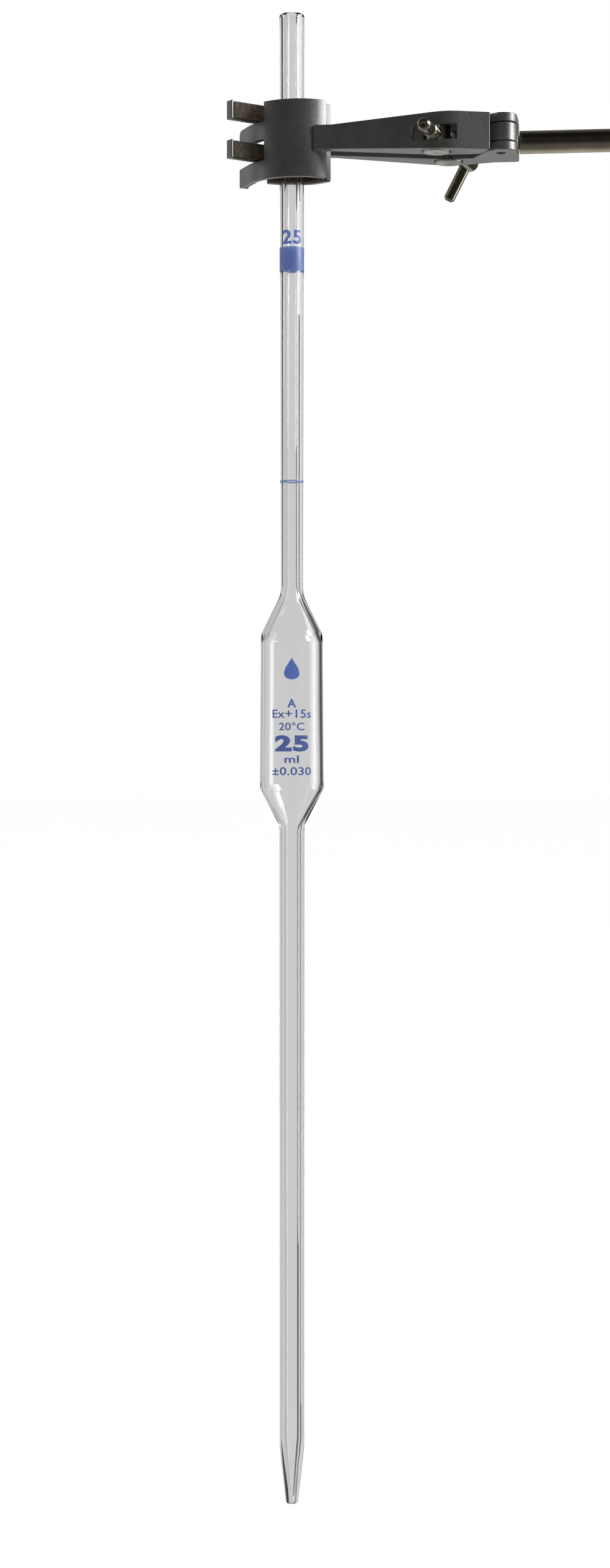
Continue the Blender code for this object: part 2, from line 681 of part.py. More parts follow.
def enamel_ring(start, height):
    """A fired enamel ring that follows the stem's slight taper."""
    clear = ENAMEL_GAP
    thick = ENAMEL_GAP + ENAMEL_THICKNESS
    loop = [
        (stem_radius(start + height) + thick, GRIP_DEPTH - start - height),
        (stem_radius(start) + thick, GRIP_DEPTH - start),
        (stem_radius(start) + clear, GRIP_DEPTH - start),
        (stem_radius(start + height) + clear, GRIP_DEPTH - start - height),
    ]
    return turned_tube(loop, GLASS_SEGMENTS)


def make_pipette():
    part("pipette_glass", turned_tube(pipette_profile(), GLASS_SEGMENTS), GLASS)
    part("colour_code_band", enamel_ring(BAND_START, BAND_HEIGHT), ENAMEL)
    part("ring_mark", enamel_ring(RING_MARK_DEPTH, RING_MARK_HEIGHT), ENAMEL)


# --- the assembly ----------------------------------------------------------------------------------------

clear_scene()

TOOL_FINISH = material("tool", (0.8, 0.1, 0.1), 0.0, 0.5)
PAINT = material("hammer_grey_paint", (0.12, 0.12, 0.12), 0.6, 0.42)
STEEL = material("bright_steel", (0.55, 0.53, 0.48), 1.0, 0.25)
CORK = material("dark_cork", (0.13, 0.08, 0.04), 0.0, 0.9)
GLASS = material("borosilicate_glass", (0.95, 0.97, 0.97), 0.0, 0.02, 1.0)
ENAMEL = material("blue_enamel", (0.06, 0.10, 0.33), 0.0, 0.35)

SCREW_AXIS = Vector((math.sin(SCREW_TILT), math.cos(SCREW_TILT), 0.0))
NUT = Vector((NUT_U, -BARREL_V, 0.0))
BUSH = NUT + SCREW_AXIS * (2.0 * BARREL_V / math.cos(SCREW_TILT))
BUSH_CENTRE = Vector((BUSH.x, BUSH.y, SCREW_W))
BAR_CENTRE = Vector((NUT.x, NUT.y, SCREW_W)) + SCREW_AXIS * CROSS_BAR_REACH
BAR_AXIS = Matrix.Rotation(CROSS_BAR_LEAN, 3, SCREW_AXIS) @ Vector((0.0, 0.0, 1.0))

make_rod()
make_fixed_arm()
make_corks("fixed", Vector((0, 0, 0)))
make_hinge_pin()
make_moving_arm()
make_corks("moving", HINGE)
barrel("swivel_bush", BUSH_HALF_HEIGHT, JOURNAL_RADIUS + GAP, BUSH, SHANK_RADIUS + 0.4)
barrel("swivel_nut", NUT_HALF_HEIGHT, THREAD_RADIUS + GAP, NUT, SHANK_RADIUS - 0.4)
make_screw()
make_cross_bar()
make_pipette()
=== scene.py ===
import json
import math

import bmesh
import bpy
from mathutils import Matrix, Vector


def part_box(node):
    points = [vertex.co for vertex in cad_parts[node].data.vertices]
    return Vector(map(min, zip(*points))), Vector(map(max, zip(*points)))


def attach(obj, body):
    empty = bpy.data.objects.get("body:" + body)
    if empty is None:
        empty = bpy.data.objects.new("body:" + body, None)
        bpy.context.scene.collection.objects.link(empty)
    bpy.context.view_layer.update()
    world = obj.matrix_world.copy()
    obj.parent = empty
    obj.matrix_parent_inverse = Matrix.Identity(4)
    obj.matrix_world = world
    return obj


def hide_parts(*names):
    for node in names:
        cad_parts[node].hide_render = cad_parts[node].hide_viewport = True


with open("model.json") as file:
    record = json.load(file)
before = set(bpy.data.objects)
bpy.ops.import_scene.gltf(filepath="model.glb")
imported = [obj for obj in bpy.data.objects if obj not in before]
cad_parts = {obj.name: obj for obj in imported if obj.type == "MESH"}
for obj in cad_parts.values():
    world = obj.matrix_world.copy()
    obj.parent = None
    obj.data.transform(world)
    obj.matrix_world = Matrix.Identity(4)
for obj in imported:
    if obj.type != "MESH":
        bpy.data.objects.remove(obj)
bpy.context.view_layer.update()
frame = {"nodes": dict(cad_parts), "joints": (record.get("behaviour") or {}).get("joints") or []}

# The camera stands level with the bulb and a little to the right of square, so that the clamp is seen from
# below. Its lens is a long one, and the small shift only places the horizon.
glass_low, glass_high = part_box("pipette_glass")
glass_middle = (glass_low + glass_high) / 2.0
pipette_axis = Vector((glass_middle.x, glass_middle.y, 0.0))
camera_bearing = math.radians(6.3)
camera_distance = 0.936
camera_aside = 0.0046
camera_below_mouth = 0.250
look = Vector((-math.sin(camera_bearing), math.cos(camera_bearing), 0.0))
rightwards = Vector((math.cos(camera_bearing), math.sin(camera_bearing), 0.0))
camera_data = bpy.data.cameras.new("camera")
camera_data.sensor_width = 36.0
camera_data.lens = 61.49
camera_data.shift_y = -0.0342
camera_data.clip_start = 0.01
camera = bpy.data.objects.new("camera", camera_data)
camera.location = pipette_axis + rightwards * camera_aside - look * camera_distance
camera.location.z = glass_high.z - camera_below_mouth
camera.rotation_euler = (math.radians(90.0), 0.0, camera_bearing)
bpy.context.scene.collection.objects.link(camera)
bpy.context.scene.camera = camera
bpy.context.scene.view_settings.view_transform = "Standard"


def add_node(tree, kind, values=None, **settings):
    """A node with its settings, and its inputs filled with a number or linked to another node's output."""
    made = tree.nodes.new(kind)
    for key, value in settings.items():
        setattr(made, key, value)
    for key, value in (values or {}).items():
        if isinstance(value, bpy.types.NodeSocket):
            tree.links.new(value, made.inputs[key])
        else:
            made.inputs[key].default_value = value
    return made


def sum_node(tree, operation, *values):
    """One arithmetic step; gives its output."""
    return add_node(tree, "ShaderNodeMath", dict(enumerate(values)), operation=operation).outputs[0]


def ramp_value(tree, value, low, high, at_low, at_high):
    """A smooth run from at_low to at_high while value goes from low to high."""
    settings = {"From Min": low, "From Max": high, "To Min": at_low, "To Max": at_high, "Value": value}
    return add_node(tree, "ShaderNodeMapRange", settings, interpolation_type="SMOOTHSTEP").outputs[0]


# The studio: a pale floor under a broad sun, soft boxes at both sides, and a room that is bright behind the
# work and dim on the near side. Light that comes through the glass finds the room lit all round, but for two
# upright dark flags behind the work, which line the edges of the glass.
floor_level = glass_low.z - 0.05
floor_mesh = bpy.data.meshes.new("floor")
floor_builder = bmesh.new()
bmesh.ops.create_circle(floor_builder, cap_ends=True, segments=64, radius=12.0)
floor_builder.to_mesh(floor_mesh)
floor_builder.free()
floor = bpy.data.objects.new("floor", floor_mesh)
floor.location.z = floor_level
floor.visible_glossy = False
floor.visible_transmission = False
bpy.context.scene.collection.objects.link(floor)
floor_finish = bpy.data.materials.new("floor_paper")
floor_finish.use_nodes = True
floor_finish.node_tree.nodes["Principled BSDF"].inputs["Base Color"].default_value = (0.94, 0.94, 0.94, 1.0)
floor_finish.node_tree.nodes["Principled BSDF"].inputs["Roughness"].default_value = 0.9
floor_mesh.materials.append(floor_finish)

room = bpy.data.worlds.new("room")
room.use_nodes = True
bpy.context.scene.world = room
room_tree = room.node_tree
room_tree.nodes.clear()
direction = add_node(room_tree, "ShaderNodeTexCoord").outputs["Generated"]
axes = add_node(room_tree, "ShaderNodeSeparateXYZ", {"Vector": direction}).outputs
depth_glow = ramp_value(room_tree, axes["Y"], -0.35, 0.7, 0.035, 0.64)
ceiling_dim = ramp_value(room_tree, axes["Z"], 0.25, 0.85, 1.0, 0.35)
table_glow = ramp_value(room_tree, axes["Z"], -0.15, -0.85, 0.0, 0.15)
lit_room = sum_node(room_tree, "ADD", sum_node(room_tree, "MULTIPLY", depth_glow, ceiling_dim), table_glow)
bearing_round = sum_node(room_tree, "ARCTAN2", axes["X"], sum_node(room_tree, "MULTIPLY", axes["Y"], -1.0))


def dark_flag(start_deg, end_deg, soft_deg, depth):
    """How much an upright flag between two bearings darkens the room, with soft edges."""
    start, end, soft = (math.radians(angle) for angle in (start_deg, end_deg, soft_deg))
    rise = ramp_value(room_tree, bearing_round, start, start + soft, 0.0, depth)
    fall = ramp_value(room_tree, bearing_round, end - soft, end, 1.0, 0.0)
    return sum_node(room_tree, "MULTIPLY", rise, fall)


right_flag = dark_flag(138.0, 171.0, soft_deg=6.0, depth=0.94)
left_flag = dark_flag(-155.0, -142.0, soft_deg=4.0, depth=0.6)
both_flags = sum_node(room_tree, "ADD", right_flag, left_flag)
ray = add_node(room_tree, "ShaderNodeLightPath").outputs
through_glass = sum_node(room_tree, "MULTIPLY", ray["Is Transmission Ray"], 0.5)
lit_all_round = sum_node(room_tree, "MAXIMUM", lit_room, through_glass)
glow = sum_node(room_tree, "MULTIPLY", lit_all_round, sum_node(room_tree, "SUBTRACT", 1.0, both_flags))
room_light = add_node(room_tree, "ShaderNodeBackground", {"Color": (1.0, 0.985, 0.99, 1.0), "Strength": glow})
backdrop = add_node(room_tree, "ShaderNodeBackground", {"Color": (1.0, 1.0, 1.0, 1.0), "Strength": 1.0})
mix = {0: ray["Is Camera Ray"], 1: room_light.outputs[0], 2: backdrop.outputs[0]}
both = add_node(room_tree, "ShaderNodeMixShader", mix)
add_node(room_tree, "ShaderNodeOutputWorld", {"Surface": both.outputs[0]})


def soft_box(name, bearing_deg, distance, height, width, tall, brightness):
    """An upright area light that faces the clamp, at a bearing from the clamp's -Y side round to the right."""
    target = Vector((pipette_axis.x + 0.04, pipette_axis.y, height))
    bearing = math.radians(bearing_deg)
    away = Vector((math.sin(bearing), -math.cos(bearing), 0.0))
    data = bpy.data.lights.new(name, "AREA")
    data.shape = "RECTANGLE"
    data.size = width
    data.size_y = tall
    data.energy = brightness * math.pi * width * tall
    box = bpy.data.objects.new(name, data)
    box.location = target + away * distance
    box.rotation_euler = (-away).to_track_quat("-Z", "Y").to_euler()
    box.visible_camera = False
    bpy.context.scene.collection.objects.link(box)


soft_box("soft_box_right", 100.0, distance=0.95, height=0.0, width=0.40, tall=1.4, brightness=3.4)
soft_box("soft_box_high", 80.0, distance=0.95, height=0.42, width=0.36, tall=0.66, brightness=15.0)
soft_box("soft_box_left", 280.0, distance=1.0, height=-0.1, width=0.22, tall=1.4, brightness=1.5)
floor_sun_data = bpy.data.lights.new("floor_sun", "SUN")
floor_sun_data.angle = math.radians(90.0)
floor_sun_data.energy = 3.08
floor_sun = bpy.data.objects.new("floor_sun", floor_sun_data)
floor_sun.visible_glossy = False
floor_sun.visible_transmission = False
bpy.context.scene.collection.objects.link(floor_sun)

# The support rod is a length of bright drawn steel. One end is chamfered; the other is turned down to a
# spigot that screws into the yoke. It is turned from its outline, as every round piece here is.
mm = 0.001


def make_turning_tree():
    """Turns an outline, drawn as a chain of points (radius, 0, height), into rings about the Z axis."""
    tree = bpy.data.node_groups.new("turn_outline", "GeometryNodeTree")
    tree.interface.new_socket("Outline", in_out="INPUT", socket_type="NodeSocketGeometry")
    tree.interface.new_socket("Points", in_out="INPUT", socket_type="NodeSocketInt")
    tree.interface.new_socket("Segments", in_out="INPUT", socket_type="NodeSocketInt")
    tree.interface.new_socket("Finish", in_out="INPUT", socket_type="NodeSocketMaterial")
    tree.interface.new_socket("Turned", in_out="OUTPUT", socket_type="NodeSocketGeometry")
    given = add_node(tree, "NodeGroupInput").outputs
    rows = sum_node(tree, "ADD", given["Segments"], 1.0)
    grid = add_node(tree, "GeometryNodeMeshGrid", {"Vertices X": rows, "Vertices Y": given["Points"]})
    index = add_node(tree, "GeometryNodeInputIndex").outputs[0]
    along = sum_node(tree, "MODULO", index, given["Points"])
    passed = sum_node(tree, "DIVIDE", sum_node(tree, "ADD", index, 0.5), given["Points"])
    around = sum_node(tree, "FLOOR", passed)
    share = sum_node(tree, "DIVIDE", sum_node(tree, "MODULO", around, given["Segments"]), given["Segments"])
    angle = sum_node(tree, "MULTIPLY", share, math.tau)
    here = add_node(tree, "GeometryNodeInputPosition").outputs[0]
    sample = add_node(
        tree,
        "GeometryNodeSampleIndex",
        {"Geometry": given["Outline"], "Index": along},
        data_type="FLOAT_VECTOR",
        domain="POINT",
    )
    tree.links.new(here, sample.inputs["Value"])
    outline = add_node(tree, "ShaderNodeSeparateXYZ", {0: sample.outputs["Value"]}).outputs
    x = sum_node(tree, "MULTIPLY", outline["X"], sum_node(tree, "COSINE", angle))
    y = sum_node(tree, "MULTIPLY", outline["X"], sum_node(tree, "SINE", angle))
    place = add_node(tree, "ShaderNodeCombineXYZ", {0: x, 1: y, 2: outline["Z"]}).outputs[0]
    bent = add_node(tree, "GeometryNodeSetPosition", {"Geometry": grid.outputs["Mesh"], "Position": place})
    joined = add_node(tree, "GeometryNodeMergeByDistance", {"Geometry": bent.outputs[0], "Distance": 1e-7})
    whole = add_node(tree, "GeometryNodeRealizeInstances", {"Geometry": joined.outputs[0]})
    painted = add_node(
        tree, "GeometryNodeSetMaterial", {"Geometry": whole.outputs[0], "Material": given["Finish"]}
    )
    add_node(tree, "NodeGroupOutput", {0: painted.outputs[0]})
    return tree


turning_tree = make_turning_tree()


def grow(start, tree, **inputs):
    """Runs a node tree on an object and gives the plain mesh that it makes."""
    modifier = start.modifiers.new(tree.name, "NODES")
    modifier.node_group = tree
    for socket in tree.interface.items_tree:
        if socket.in_out == "INPUT" and socket.name in inputs:
            modifier[socket.identifier] = inputs[socket.name]
    shaped = start.evaluated_get(bpy.context.evaluated_depsgraph_get())
    mesh = bpy.data.meshes.new_from_object(shaped)
    start.modifiers.remove(modifier)
    return mesh


def show(name, mesh):
    piece = bpy.data.objects.new(name, mesh)
    bpy.context.scene.collection.objects.link(piece)
    return piece


def face_outwards(mesh):
    """Turns a closed mesh the right way round, by the sign of its volume."""
    shape = bmesh.new()
    shape.from_mesh(mesh)
    if shape.calc_volume(signed=True) < 0.0:
        bmesh.ops.reverse_faces(shape, faces=shape.faces)
    shape.to_mesh(mesh)
    shape.free()


def rounded_run(points, radius, steps=4):
    """A run of (radius, height) points with its inner corners rounded and a point beside each rounding."""
    corners = [Vector(p) for p in points]
    out = [tuple(corners[0])]
    for before, here, after in zip(corners, corners[1:], corners[2:]):
        reach = min(radius, (here - before).length * 0.42, (after - here).length * 0.42)
        start = here + (before - here).normalized() * reach
        end = here + (after - here).normalized() * reach
        out.append(tuple(start.lerp(before, 0.05)))
        for i in range(steps + 1):
            t = i / steps
            out.append(tuple(start.lerp(here, t).lerp(here.lerp(end, t), t)))
        out.append(tuple(end.lerp(after, 0.05)))
    out.append(tuple(corners[-1]))
    return out


def turned(name, outline, finish, centre, along, segments=96, closed=False):
    """A round piece from its (radius, height) outline in millimetres, stood at a place along an axis."""
    chain = bpy.data.meshes.new(name)
    points = outline + outline[:1] if closed else outline
    chain.from_pydata([(radius * mm, 0.0, height * mm) for radius, height in points], [], [])
    start = show(name + "_outline", chain)
    mesh = grow(start, turning_tree, Points=len(points), Segments=segments, Finish=finish)
    bpy.data.objects.remove(start)
    stand = Matrix.Translation(centre) @ Vector(along).to_track_quat("Z", "Y").to_matrix().to_4x4()
    mesh.transform(stand)
    face_outwards(mesh)
    mesh.name = name
    mesh.shade_smooth()
    mesh.set_sharp_from_angle(angle=math.radians(30.0))
    return show(name, mesh)


def make_steel(name, along, tint, dullness, drawn):
    """Bright steel with fine lines: along the piece where it is drawn, round it where it is turned."""
    steel = bpy.data.materials.new(name)
    steel.use_nodes = True
    tree = steel.node_tree
    shader = tree.nodes["Principled BSDF"]
    shader.inputs["Metallic"].default_value = 1.0
    turn = Vector((0.0, 0.0, 1.0)).rotation_difference(Vector(along)).inverted().to_euler()
    place = add_node(tree, "ShaderNodeTexCoord").outputs["Object"]
    level = add_node(tree, "ShaderNodeMapping", {"Vector": place, "Rotation": turn}).outputs[0]
    stretch = (2600.0, 2600.0, 60.0) if drawn else (160.0, 160.0, 5200.0)
    lines = add_node(tree, "ShaderNodeMapping", {"Vector": level, "Scale": stretch}).outputs[0]
    scratch = add_node(tree, "ShaderNodeTexNoise", {"Vector": lines, "Scale": 1.0, "Detail": 3.0}).outputs[0]
    cloud = add_node(tree, "ShaderNodeTexNoise", {"Vector": place, "Scale": 190.0, "Detail": 4.0}).outputs[0]
    light = ramp_value(tree, cloud, 0.3, 0.7, 0.86, 1.06)
    shade = add_node(tree, "ShaderNodeVectorMath", {0: tint, "Scale": light}, operation="SCALE").outputs[0]
    tree.links.new(shade, shader.inputs["Base Color"])
    matt = ramp_value(tree, scratch, 0.3, 0.7, dullness - 0.05, dullness + 0.07)
    tree.links.new(matt, shader.inputs["Roughness"])
    relief = add_node(tree, "ShaderNodeBump", {"Height": scratch, "Strength": 0.18, "Distance": 0.00003})
    tree.links.new(relief.outputs[0], shader.inputs["Normal"])
    return steel


def cad_radius(node):
    low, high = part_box(node)
    return (high.z - low.z) / 2.0 / mm


rod_low, rod_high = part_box("support_rod")
rod_radius = cad_radius("support_rod")
rod_length = (rod_high.x - rod_low.x) / mm
spigot_length = 12.3
spigot_radius = 2.7
rod_chamfer = 0.8
rod_corners = [
    (0.0, -rod_length),
    (spigot_radius - 0.6, -rod_length),
    (spigot_radius, -rod_length + 0.6),
    (spigot_radius, -rod_length + spigot_length - 0.6),
    (spigot_radius - 0.4, -rod_length + spigot_length - 0.6),
    (spigot_radius - 0.4, -rod_length + spigot_length),
    (rod_radius, -rod_length + spigot_length),
    (rod_radius, -rod_chamfer),
    (rod_radius - rod_chamfer, 0.0),
    (0.0, 0.0),
]
rod_outline = rounded_run(rod_corners, 0.2)
warm_steel = (0.42, 0.38, 0.29)
rod_steel = make_steel("drawn_steel", (1, 0, 0), warm_steel, 0.16, True)
support_rod = turned("support_rod_bar", rod_outline, rod_steel, (0, 0, 0), (1, 0, 0), 128)
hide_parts("support_rod")
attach(support_rod, "frame")

# The fixed arm is one die casting with the far jaw and the two plates of the hinge yoke. Its edges come
# rounded from the die, and it is sprayed with a grey metallic paint that dries in fine hammered dimples.
paint = bpy.data.materials.new("hammered_paint")
paint.use_nodes = True
paint_tree = paint.node_tree
paint_shader = paint_tree.nodes["Principled BSDF"]
paint_shader.inputs["Metallic"].default_value = 0.82
paint_shader.inputs["Coat Weight"].default_value = 0.12
paint_shader.inputs["Coat Roughness"].default_value = 0.25
paint_place = add_node(paint_tree, "ShaderNodeTexCoord").outputs["Object"]
flake = add_node(paint_tree, "ShaderNodeTexNoise", {"Vector": paint_place, "Scale": 5200.0, "Detail": 2.0})
haze = add_node(paint_tree, "ShaderNodeTexNoise", {"Vector": paint_place, "Scale": 120.0, "Detail": 3.0})
dimple = add_node(
    paint_tree, "ShaderNodeTexVoronoi", {"Vector": paint_place, "Scale": 1700.0}, feature="SMOOTH_F1"
)
glitter = ramp_value(paint_tree, flake.outputs[0], 0.32, 0.7, 0.12, 0.23)
patch = ramp_value(paint_tree, haze.outputs[0], 0.3, 0.7, 0.92, 1.08)
grey = sum_node(paint_tree, "MULTIPLY", glitter, patch)
warm_blue = sum_node(paint_tree, "MULTIPLY", grey, 0.985)
tone = add_node(paint_tree, "ShaderNodeCombineColor", {0: grey, 1: grey, 2: warm_blue})
paint_tree.links.new(tone.outputs[0], paint_shader.inputs["Base Color"])
paint_matt = ramp_value(paint_tree, flake.outputs[0], 0.3, 0.7, 0.36, 0.48)
paint_tree.links.new(paint_matt, paint_shader.inputs["Roughness"])
paint_bump = add_node(
    paint_tree, "ShaderNodeBump", {"Height": dimple.outputs["Distance"], "Strength": 0.22, "Distance": 0.0001}
)
paint_tree.links.new(paint_bump.outputs[0], paint_shader.inputs["Normal"])


def cast(name, node, finish, edge_radius):
    """A casting from its node: flat faces made whole, then its edges rounded, knife edges left alone."""
    softest_fold, sharpest_fold = 25.0, 120.0
    shortest_edge = 0.3 * mm
    shape = bmesh.new()
    shape.from_mesh(frame["nodes"][node].data)
    bmesh.ops.remove_doubles(shape, verts=shape.verts, dist=0.002 * mm)
    bmesh.ops.dissolve_limit(shape, angle_limit=math.radians(1.0), verts=shape.verts, edges=shape.edges)
    weights = shape.edges.layers.float.new("bevel_weight_edge")
    for edge in shape.edges:
        fold = math.degrees(edge.calc_face_angle(0.0))
        if softest_fold < fold < sharpest_fold and edge.calc_length() > shortest_edge:
            edge[weights] = 1.0
    mesh = bpy.data.meshes.new(name)
    shape.to_mesh(mesh)
    shape.free()
    mesh.materials.clear()
    mesh.materials.append(finish)
    mesh.shade_smooth()
    casting = show(name, mesh)
    rounding = casting.modifiers.new("rounding", "BEVEL")
    rounding.limit_method = "WEIGHT"
    rounding.width = edge_radius
    rounding.segments = 3
    rounding.use_clamp_overlap = False
    casting.modifiers.new("even_faces", "WEIGHTED_NORMAL")
    shaped = casting.evaluated_get(bpy.context.evaluated_depsgraph_get())
    casting.data = bpy.data.meshes.new_from_object(shaped)
    casting.modifiers.clear()
    return casting


casting_edge = 0.28 * mm
fixed_arm = cast("fixed_arm_casting", "fixed_arm", paint, casting_edge)
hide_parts("fixed_arm")
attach(fixed_arm, "frame")

# The moving arm is the second casting: the near jaw, a window for the screw, and the tongue that turns
# between the yoke's plates. It is painted with the first.
moving_arm = cast("moving_arm_casting", "moving_arm", paint, casting_edge)
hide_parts("moving_arm")
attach(moving_arm, "moving_jaw")

# The jaws are lined with dark agglomerated cork: a sheet on each band and a strip on each finger, cut from
# pressed granules and glued on. The granules stand a little proud, with pits between them.
cork = bpy.data.materials.new("pressed_cork")
cork.use_nodes = True
cork_tree = cork.node_tree
cork_shader = cork_tree.nodes["Principled BSDF"]
cork_place = add_node(cork_tree, "ShaderNodeTexCoord").outputs["Object"]
granule_size = 1100.0
granule = add_node(cork_tree, "ShaderNodeTexVoronoi", {"Vector": cork_place, "Scale": granule_size})
granule_gap = add_node(
    cork_tree,
    "ShaderNodeTexVoronoi",
    {"Vector": cork_place, "Scale": granule_size},
    feature="DISTANCE_TO_EDGE",
)
granule_pick = add_node(cork_tree, "ShaderNodeSeparateColor", {"Color": granule.outputs["Color"]}).outputs[0]
granule_tone = add_node(cork_tree, "ShaderNodeValToRGB", {"Fac": granule_pick})
tones = granule_tone.color_ramp.elements
tones[0].color = (0.030, 0.022, 0.013, 1.0)
tones[1].color = (0.075, 0.047, 0.026, 1.0)
brown = tones.new(0.6)
brown.color = (0.044, 0.030, 0.018, 1.0)
seam_dark = ramp_value(cork_tree, granule_gap.outputs["Distance"], 0.0, 0.12, 0.55, 1.0)
speck = add_node(cork_tree, "ShaderNodeTexNoise", {"Vector": cork_place, "Scale": 4200.0, "Detail": 4.0})
speck_tone = ramp_value(cork_tree, speck.outputs[0], 0.3, 0.7, 0.6, 1.35)
cork_light = sum_node(cork_tree, "MULTIPLY", seam_dark, speck_tone)
cork_colour = add_node(
    cork_tree, "ShaderNodeVectorMath", {0: granule_tone.outputs[0], "Scale": cork_light}, operation="SCALE"
)
cork_tree.links.new(cork_colour.outputs[0], cork_shader.inputs["Base Color"])
cork_matt = ramp_value(cork_tree, speck.outputs[0], 0.3, 0.7, 0.62, 0.9)
cork_tree.links.new(cork_matt, cork_shader.inputs["Roughness"])
cork_height = sum_node(cork_tree, "MULTIPLY", granule_gap.outputs["Distance"], speck.outputs[0])
cork_relief = {"Height": cork_height, "Strength": 0.6, "Distance": 0.0002}
cork_bump = add_node(cork_tree, "ShaderNodeBump", cork_relief)
cork_tree.links.new(cork_bump.outputs[0], cork_shader.inputs["Normal"])


def make_grain_tree():
    """Raises cork granules on a surface: each cell swells along the normal and its borders sink."""
    tree = bpy.data.node_groups.new("cork_grain", "GeometryNodeTree")
    tree.interface.new_socket("Cork", in_out="INPUT", socket_type="NodeSocketGeometry")
    tree.interface.new_socket("Grain", in_out="INPUT", socket_type="NodeSocketFloat")
    tree.interface.new_socket("Relief", in_out="INPUT", socket_type="NodeSocketFloat")
    tree.interface.new_socket("Seed", in_out="INPUT", socket_type="NodeSocketFloat")
    tree.interface.new_socket("Finish", in_out="INPUT", socket_type="NodeSocketMaterial")
    tree.interface.new_socket("Grained", in_out="OUTPUT", socket_type="NodeSocketGeometry")
    given = add_node(tree, "NodeGroupInput").outputs
    here = add_node(tree, "GeometryNodeInputPosition").outputs[0]
    scale = sum_node(tree, "DIVIDE", 1.0, given["Grain"])
    cells = add_node(
        tree,
        "ShaderNodeTexVoronoi",
        {"Vector": here, "W": given["Seed"], "Scale": scale},
        voronoi_dimensions="4D",
        feature="SMOOTH_F1",
    )
    swell = ramp_value(tree, cells.outputs["Distance"], 0.15, 0.75, 0.0, -1.0)
    height = sum_node(tree, "MULTIPLY", swell, given["Relief"])
    normal = add_node(tree, "GeometryNodeInputNormal").outputs[0]
    push = add_node(tree, "ShaderNodeVectorMath", {0: normal, "Scale": height}, operation="SCALE").outputs[0]
    raised = add_node(tree, "GeometryNodeSetPosition", {"Geometry": given["Cork"], "Offset": push})
    whole = add_node(tree, "GeometryNodeRealizeInstances", {"Geometry": raised.outputs[0]})
    painted = add_node(
        tree, "GeometryNodeSetMaterial", {"Geometry": whole.outputs[0], "Material": given["Finish"]}
    )
    add_node(tree, "NodeGroupOutput", {0: painted.outputs[0]})
    return tree


grain_tree = make_grain_tree()


def line_with_cork(node, body, seed):
    """A cork sheet in the place of its node, its corners crumbled round and its faces grained."""
    sheet_mesh = frame["nodes"][node].data.copy()
    sheet = show(node + "_sheet", sheet_mesh)
    fine = sheet.modifiers.new("fine_mesh", "REMESH")
    fine.mode = "VOXEL"
    fine.voxel_size = 0.22 * mm
    soften = sheet.modifiers.new("soften", "SMOOTH")
    soften.factor = 0.5
    soften.iterations = 5
    shaped = sheet.evaluated_get(bpy.context.evaluated_depsgraph_get())
    sheet.data = bpy.data.meshes.new_from_object(shaped)
    sheet.modifiers.clear()
    sheet.data = grow(sheet, grain_tree, Grain=1.1 * mm, Relief=0.13 * mm, Seed=seed, Finish=cork)
    sheet.data.shade_smooth()
    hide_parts(node)
    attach(sheet, body)


for seed, (side, body) in enumerate((("fixed", "frame"), ("moving", "moving_jaw"))):
    line_with_cork(f"cork_{side}_band", body, seed + 0.1)
    line_with_cork(f"cork_{side}_upper_finger", body, seed + 0.4)
    line_with_cork(f"cork_{side}_lower_finger", body, seed + 0.7)

# The hinge pin is a short steel dowel, pressed into the lower plate of the yoke and sunk a little in its
# hole. Its ends are ground flat with a small chamfer.
pin_low, pin_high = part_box("hinge_pin")
pin_centre = (pin_low + pin_high) / 2.0
pin_radius = (pin_high.x - pin_low.x) / 2.0 / mm
pin_half = (pin_high.z - pin_low.z) / 2.0 / mm
pin_outline = [(0.0, -pin_half), (pin_radius - 0.4, -pin_half), (pin_radius, -pin_half + 0.4)]
pin_outline += [(pin_radius, pin_half - 0.4), (pin_radius - 0.4, pin_half), (0.0, pin_half)]
pin_outline = rounded_run(pin_outline, 0.1)
pin_steel = make_steel("pin_steel", (0, 0, 1), (0.42, 0.39, 0.33), 0.32, False)
hinge_pin = turned("hinge_pin_dowel", pin_outline, pin_steel, pin_centre, (0, 0, 1), 48)
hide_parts("hinge_pin")
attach(hinge_pin, "frame")

# Two upright barrels swivel in the arms and carry the screw: a plain bush in the fixed arm and a threaded
# nut in the moving arm. They are turned from bright bar, centred in the lathe, then drilled across.
screw_joint = next(j for j in frame["joints"] if j["name"] == "screw_turn")
screw_axis = Vector(screw_joint["axis"]).normalized()
bush_centre = Vector(screw_joint["pos_m"])


def cutter(name, outline, centre, along):
    """A turned shape that cuts another and is then thrown away."""
    return turned(name, outline, None, centre, along, 64)


def cut(piece, *tools):
    for knife in tools:
        drill = piece.modifiers.new(knife.name, "BOOLEAN")
        drill.operation = "DIFFERENCE"
        drill.object = knife
    shaped = piece.evaluated_get(bpy.context.evaluated_depsgraph_get())
    mesh = bpy.data.meshes.new_from_object(shaped)
    piece.modifiers.clear()
    piece.data = mesh
    for knife in tools:
        bpy.data.objects.remove(knife)
    mesh.shade_smooth()
    mesh.set_sharp_from_angle(angle=math.radians(30.0))


